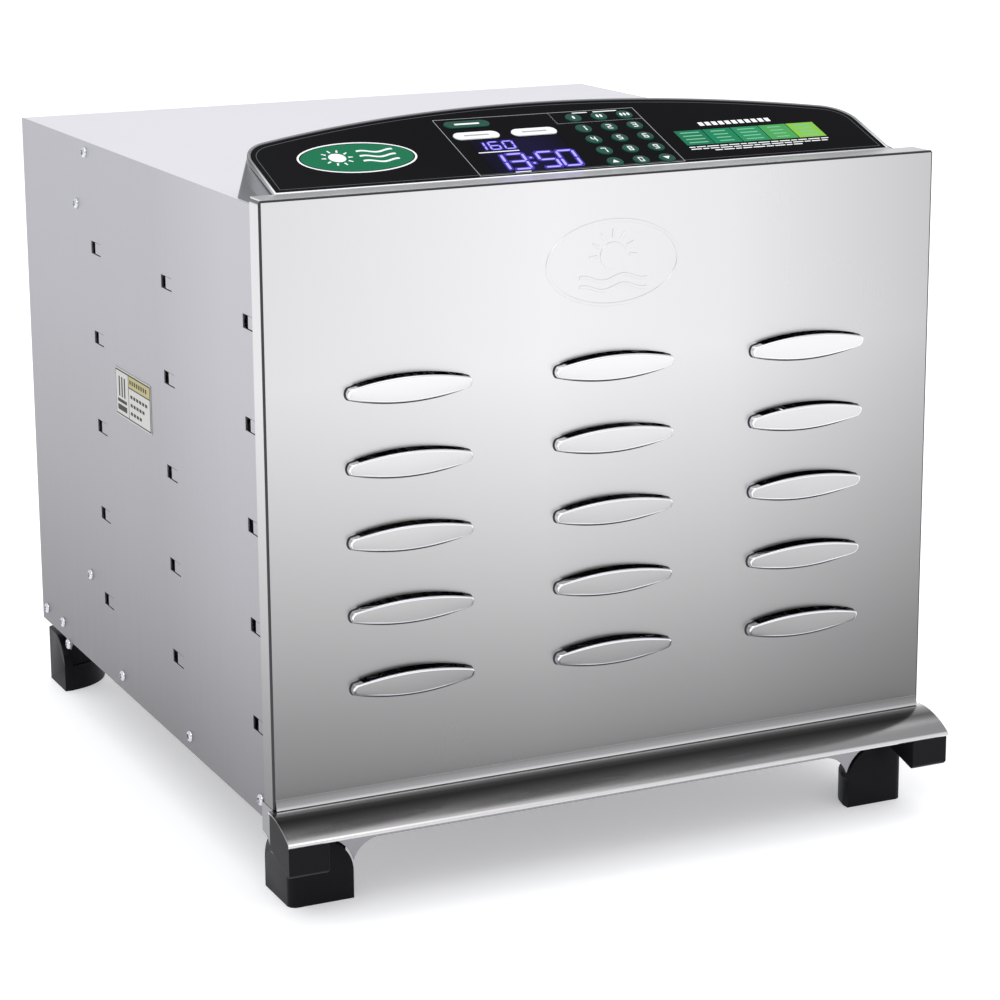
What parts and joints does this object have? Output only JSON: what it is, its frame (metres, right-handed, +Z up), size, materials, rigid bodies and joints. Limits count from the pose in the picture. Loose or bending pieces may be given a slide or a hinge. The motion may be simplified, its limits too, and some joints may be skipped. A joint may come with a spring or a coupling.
{
  "type": "food dehydrator",
  "caption": "Countertop food dehydrator: steel cabinet, lift-away louvred door, wire trays on lanced tabs, rear fan with ring heater, sloping keypad console",
  "frame": {"origin": "middle of the footprint, on the table under the feet", "axes": "+Z up, -Y towards the door and the console, +X to the right of someone facing the door"},
  "size_m": [0.44, 0.513, 0.4436],
  "materials": {
    "cabinet_steel": "satin, fine vertical grain",
    "roof_steel": "satin",
    "inner_steel": "mill finish",
    "ledge_steel": "polished satin",
    "door_steel": "satin with polished louvre lips",
    "black_plastic": "satin moulded",
    "inlet_plastic": "moulded",
    "screw_steel": "zinc plated",
    "console_grey": "metallic satin",
    "fascia_black": "gloss overlay",
    "bright_trim": "polished",
    "display_window": "tinted clear",
    "display_blue": "lit digits",
    "circuit_board": "solder mask",
    "label_foil": "printed foil",
    "heater_steel": "oxidised sheath",
    "tray_wire": "bright wire",
    "motor_case": "satin black",
    "fan_metal": "plain",
    "cable_sleeve": "braided sleeve",
    "magnet": "ceramic magnet in a dark case",
    "key_white": "smooth",
    "key_green": "satin, pale legends"
  },
  "bodies": {
    "case": {"base_pan": "cabinet_steel", "side_panel_left": "cabinet_steel", "side_panel_right": "cabinet_steel", "top_cover": "roof_steel", "rear_panel": "cabinet_steel", "fan_bulkhead": "inner_steel", "front_ledge": "ledge_steel", "ledge_cap_left": "black_plastic", "ledge_cap_right": "black_plastic", "foot_front_left": "black_plastic", "foot_front_right": "black_plastic", "foot_rear_left": "black_plastic", "foot_rear_right": "black_plastic", "foot_screws": "screw_steel", "case_screws": "screw_steel", "control_housing": "console_grey", "control_fascia": "fascia_black", "fascia_trim": "bright_trim", "display_lens": "display_window", "display_module": "display_blue", "control_board": "circuit_board", "caution_plate": "label_foil", "heating_element": "heater_steel", "fan_guard": "tray_wire", "fan_screws": "screw_steel", "motor_bracket": "inner_steel", "fan_motor": "motor_case", "temperature_probe": "fan_metal", "thermal_cutout": "motor_case", "power_inlet": "inlet_plastic", "wiring_harness": "cable_sleeve"},
    "fan_rotor": {"fan_shaft": "fan_metal", "fan_blade": "fan_metal", "fan_nut": "screw_steel"},
    "door": {"door_panel": "door_steel", "door_magnets": "magnet"},
    "tray_1": {"tray_1": "tray_wire"},
    "tray_2": {"tray_2": "tray_wire"},
    "tray_3": {"tray_3": "tray_wire"},
    "tray_4": {"tray_4": "tray_wire"},
    "tray_5": {"tray_5": "tray_wire"},
    "key_power": {"key_power": "key_green"},
    "key_start": {"key_start": "key_white"},
    "key_mode": {"key_mode": "key_white"},
    "key_up": {"key_up": "key_green"},
    "key_down": {"key_down": "key_green"},
    "key_preset_1": {"key_preset_1": "key_green"},
    "key_preset_2": {"key_preset_2": "key_green"},
    "key_preset_3": {"key_preset_3": "key_green"},
    "key_0": {"key_0": "key_green"},
    "key_1": {"key_1": "key_green"},
    "key_2": {"key_2": "key_green"},
    "key_3": {"key_3": "key_green"},
    "key_4": {"key_4": "key_green"},
    "key_5": {"key_5": "key_green"},
    "key_6": {"key_6": "key_green"},
    "key_7": {"key_7": "key_green"},
    "key_8": {"key_8": "key_green"},
    "key_9": {"key_9": "key_green"}
  },
  "joints": [
    {"name": "door_slide", "type": "slide", "parent": "case", "child": "door", "axis": [0, -1, 0], "range_m": [0, 0.46]},
    {"name": "fan_spin", "type": "hinge", "parent": "case", "child": "fan_rotor", "pos_m": [0, 0.14, 0.225], "axis": [0, 1, 0], "continuous": true},
    {"name": "tray_1_slide", "type": "slide", "parent": "case", "child": "tray_1", "axis": [0, -1, 0], "range_m": [0, 0.31]},
    {"name": "tray_2_slide", "type": "slide", "parent": "case", "child": "tray_2", "axis": [0, -1, 0], "range_m": [0, 0.31]},
    {"name": "tray_3_slide", "type": "slide", "parent": "case", "child": "tray_3", "axis": [0, -1, 0], "range_m": [0, 0.31]},
    {"name": "tray_4_slide", "type": "slide", "parent": "case", "child": "tray_4", "axis": [0, -1, 0], "range_m": [0, 0.31]},
    {"name": "tray_5_slide", "type": "slide", "parent": "case", "child": "tray_5", "axis": [0, -1, 0], "range_m": [0, 0.31]},
    {"name": "key_power_press", "type": "slide", "parent": "case", "child": "key_power", "axis": [0, 0.342, -0.9397], "range_m": [0, 0.0004], "stiffness_N_per_m": 1000},
    {"name": "key_start_press", "type": "slide", "parent": "case", "child": "key_start", "axis": [0, 0.342, -0.9397], "range_m": [0, 0.0004], "stiffness_N_per_m": 1000},
    {"name": "key_mode_press", "type": "slide", "parent": "case", "child": "key_mode", "axis": [0, 0.342, -0.9397], "range_m": [0, 0.0004], "stiffness_N_per_m": 1000},
    {"name": "key_up_press", "type": "slide", "parent": "case", "child": "key_up", "axis": [0, 0.342, -0.9397], "range_m": [0, 0.0004], "stiffness_N_per_m": 1000},
    {"name": "key_down_press", "type": "slide", "parent": "case", "child": "key_down", "axis": [0, 0.342, -0.9397], "range_m": [0, 0.0004], "stiffness_N_per_m": 1000},
    {"name": "key_preset_1_press", "type": "slide", "parent": "case", "child": "key_preset_1", "axis": [0, 0.342, -0.9397], "range_m": [0, 0.0004], "stiffness_N_per_m": 1000},
    {"name": "key_preset_2_press", "type": "slide", "parent": "case", "child": "key_preset_2", "axis": [0, 0.342, -0.9397], "range_m": [0, 0.0004], "stiffness_N_per_m": 1000},
    {"name": "key_preset_3_press", "type": "slide", "parent": "case", "child": "key_preset_3", "axis": [0, 0.342, -0.9397], "range_m": [0, 0.0004], "stiffness_N_per_m": 1000},
    {"name": "key_0_press", "type": "slide", "parent": "case", "child": "key_0", "axis": [0, 0.342, -0.9397], "range_m": [0, 0.0004], "stiffness_N_per_m": 1000},
    {"name": "key_1_press", "type": "slide", "parent": "case", "child": "key_1", "axis": [0, 0.342, -0.9397], "range_m": [0, 0.0004], "stiffness_N_per_m": 1000},
    {"name": "key_2_press", "type": "slide", "parent": "case", "child": "key_2", "axis": [0, 0.342, -0.9397], "range_m": [0, 0.0004], "stiffness_N_per_m": 1000},
    {"name": "key_3_press", "type": "slide", "parent": "case", "child": "key_3", "axis": [0, 0.342, -0.9397], "range_m": [0, 0.0004], "stiffness_N_per_m": 1000},
    {"name": "key_4_press", "type": "slide", "parent": "case", "child": "key_4", "axis": [0, 0.342, -0.9397], "range_m": [0, 0.0004], "stiffness_N_per_m": 1000},
    {"name": "key_5_press", "type": "slide", "parent": "case", "child": "key_5", "axis": [0, 0.342, -0.9397], "range_m": [0, 0.0004], "stiffness_N_per_m": 1000},
    {"name": "key_6_press", "type": "slide", "parent": "case", "child": "key_6", "axis": [0, 0.342, -0.9397], "range_m": [0, 0.0004], "stiffness_N_per_m": 1000},
    {"name": "key_7_press", "type": "slide", "parent": "case", "child": "key_7", "axis": [0, 0.342, -0.9397], "range_m": [0, 0.0004], "stiffness_N_per_m": 1000},
    {"name": "key_8_press", "type": "slide", "parent": "case", "child": "key_8", "axis": [0, 0.342, -0.9397], "range_m": [0, 0.0004], "stiffness_N_per_m": 1000},
    {"name": "key_9_press", "type": "slide", "parent": "case", "child": "key_9", "axis": [0, 0.342, -0.9397], "range_m": [0, 0.0004], "stiffness_N_per_m": 1000}
  ],
  "couplings": [
    {"joint": "tray_1_slide", "follows": "door_slide", "ratio": 0.6739},
    {"joint": "tray_2_slide", "follows": "door_slide", "ratio": 0.6739},
    {"joint": "tray_3_slide", "follows": "door_slide", "ratio": 0.6739},
    {"joint": "tray_4_slide", "follows": "door_slide", "ratio": 0.6739},
    {"joint": "tray_5_slide", "follows": "door_slide", "ratio": 0.6739}
  ]
}
